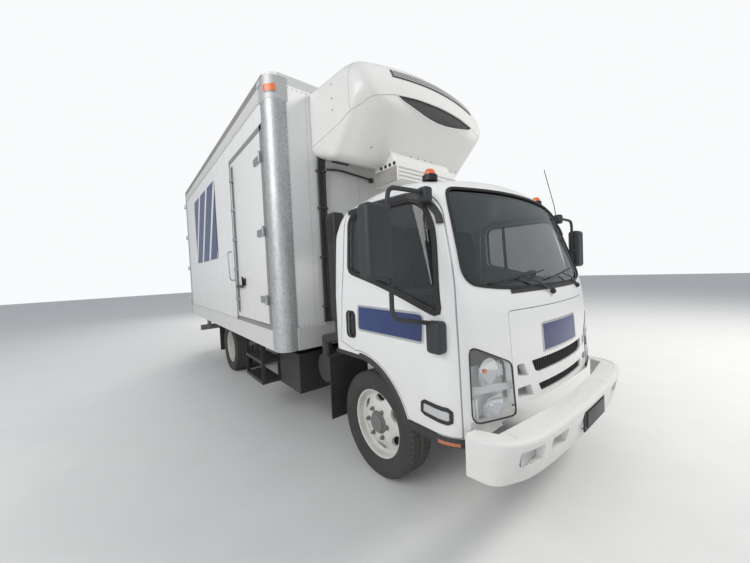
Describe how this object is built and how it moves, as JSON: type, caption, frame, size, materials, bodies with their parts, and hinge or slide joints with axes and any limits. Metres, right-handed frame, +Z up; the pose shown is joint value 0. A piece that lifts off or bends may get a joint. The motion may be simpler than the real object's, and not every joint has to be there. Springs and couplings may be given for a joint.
{
  "type": "refrigerated truck",
  "caption": "Low cab-forward refrigerated truck with an insulated box, a cooling unit on the box's nose, a side door and hinged rear doors.",
  "frame": {"origin": "on the ground, midway along and across the truck", "axes": "+X to the driver's side (the truck's left), +Y to the rear, +Z up; the front faces -Y"},
  "size_m": [2.96, 7.205, 3.4829],
  "materials": {
    "white_paint": "gloss white paint",
    "panel_white": "white gel coat",
    "aluminium": "satin",
    "black_plastic": "grained black",
    "black_metal": "satin black chassis paint",
    "grey_metal": "dull grey",
    "engine_grey": "dull cast",
    "glass": "clear, faintly green",
    "lens": "clear lens",
    "amber_lens": "amber lens",
    "red_lens": "red and amber lenses",
    "rubber": "black hose",
    "tyre": "black tread rubber",
    "cloth": "dark woven cloth",
    "dash": "grained dark grey"
  },
  "bodies": {
    "chassis": {"frame_rails": "black_metal", "crossmembers": "black_metal", "box_runners": "grey_metal", "front_axle": "black_metal", "rear_axle": "black_metal", "powertrain": "engine_grey", "exhaust": "grey_metal", "fuel_tank": "black_metal", "battery_box": "black_plastic", "air_cleaner": "black_plastic", "side_step": "grey_metal", "mudflaps": "black_plastic", "rear_bumper": "grey_metal", "front_bumper": "white_paint", "box_floor": "grey_metal", "box_left_wall": "panel_white", "box_right_wall": "panel_white", "box_front_wall": "panel_white", "box_roof": "panel_white", "box_rails": "aluminium", "rear_door_frame": "aluminium", "hinge_brackets": "aluminium", "box_lamps": "red_lens", "reefer_shell": "white_paint", "reefer_belly": "white_paint", "reefer_grille": "black_plastic", "reefer_hoses": "rubber"},
    "cab": {"cab_shell": "white_paint", "front_lid": "white_paint", "grille": "black_plastic", "headlamps": "lens", "cab_glass": "glass", "dashboard": "dash", "seats": "cloth", "cab_trim": "black_plastic", "beacons": "amber_lens"},
    "steering_wheel": {"steering_wheel": "dash"},
    "door_left": {"cab_door_left": "white_paint", "door_glass_left": "glass", "mirror_left": "black_plastic"},
    "door_right": {"cab_door_right": "white_paint", "door_glass_right": "glass", "mirror_right": "black_plastic"},
    "side_door": {"side_door": "panel_white"},
    "rear_door_left": {"rear_door_left": "panel_white"},
    "rear_door_right": {"rear_door_right": "panel_white"},
    "knuckle_left": {"knuckle_left": "black_metal"},
    "knuckle_right": {"knuckle_right": "black_metal"},
    "tie_rod": {"tie_rod": "black_metal"},
    "front_wheel_left": {"front_tyre_left": "tyre", "front_rim_left": "white_paint"},
    "front_wheel_right": {"front_tyre_right": "tyre", "front_rim_right": "white_paint"},
    "rear_wheel_left": {"rear_tyres_left": "tyre", "rear_rims_left": "white_paint"},
    "rear_wheel_right": {"rear_tyres_right": "tyre", "rear_rims_right": "white_paint"}
  },
  "joints": [
    {"name": "cab_tilt", "type": "hinge", "parent": "chassis", "child": "cab", "pos_m": [0, -3.4375, 0.66], "axis": [1, 0, 0], "range_deg": [0, 45]},
    {"name": "door_left_hinge", "type": "hinge", "parent": "cab", "child": "door_left", "pos_m": [1.025, -3.2495, 1.3], "axis": [0, 0, -1], "range_deg": [0, 70]},
    {"name": "door_right_hinge", "type": "hinge", "parent": "cab", "child": "door_right", "pos_m": [-1.025, -3.2495, 1.3], "axis": [0, 0, 1], "range_deg": [0, 70]},
    {"name": "steer_left", "type": "hinge", "parent": "chassis", "child": "knuckle_left", "pos_m": [0.72, -2.3975, 0.4055], "axis": [0, 0, 1], "range_deg": [-40, 40]},
    {"name": "steer_right", "type": "hinge", "parent": "chassis", "child": "knuckle_right", "pos_m": [-0.72, -2.3975, 0.4055], "axis": [0, 0, 1], "range_deg": [-40, 40]},
    {"name": "tie_rod_pin", "type": "hinge", "parent": "knuckle_left", "child": "tie_rod", "pos_m": [0.66, -2.2325, 0.3055], "axis": [0, 0, 1], "range_deg": [-40, 40]},
    {"name": "steering_wheel_turn", "type": "hinge", "parent": "cab", "child": "steering_wheel", "pos_m": [0.5, -2.8275, 1.4], "axis": [0, 0.6157, 0.788], "range_deg": [-722, 722]},
    {"name": "front_wheel_left_spin", "type": "hinge", "parent": "knuckle_left", "child": "front_wheel_left", "pos_m": [0.8325, -2.3975, 0.4055], "axis": [1, 0, 0], "continuous": true},
    {"name": "front_wheel_right_spin", "type": "hinge", "parent": "knuckle_right", "child": "front_wheel_right", "pos_m": [-0.8325, -2.3975, 0.4055], "axis": [1, 0, 0], "continuous": true},
    {"name": "rear_wheel_left_spin", "type": "hinge", "parent": "chassis", "child": "rear_wheel_left", "pos_m": [0.825, 1.4125, 0.4055], "axis": [1, 0, 0], "continuous": true},
    {"name": "rear_wheel_right_spin", "type": "hinge", "parent": "chassis", "child": "rear_wheel_right", "pos_m": [-0.825, 1.4125, 0.4055], "axis": [1, 0, 0], "continuous": true},
    {"name": "side_door_hinge", "type": "hinge", "parent": "chassis", "child": "side_door", "pos_m": [-1.325, -1.2725, 2], "axis": [0, 0, 1], "range_deg": [0, 175]},
    {"name": "rear_door_left_hinge", "type": "hinge", "parent": "chassis", "child": "rear_door_left", "pos_m": [1.318, 3.5485, 2.2], "axis": [0, 0, -1], "range_deg": [0, 260]},
    {"name": "rear_door_right_hinge", "type": "hinge", "parent": "chassis", "child": "rear_door_right", "pos_m": [-1.318, 3.5485, 2.2], "axis": [0, 0, 1], "range_deg": [0, 260]}
  ],
  "couplings": [
    {"joint": "steer_right", "follows": "steer_left", "ratio": 1},
    {"joint": "tie_rod_pin", "follows": "steer_left", "ratio": -1},
    {"joint": "steering_wheel_turn", "follows": "steer_left", "ratio": 18}
  ]
}
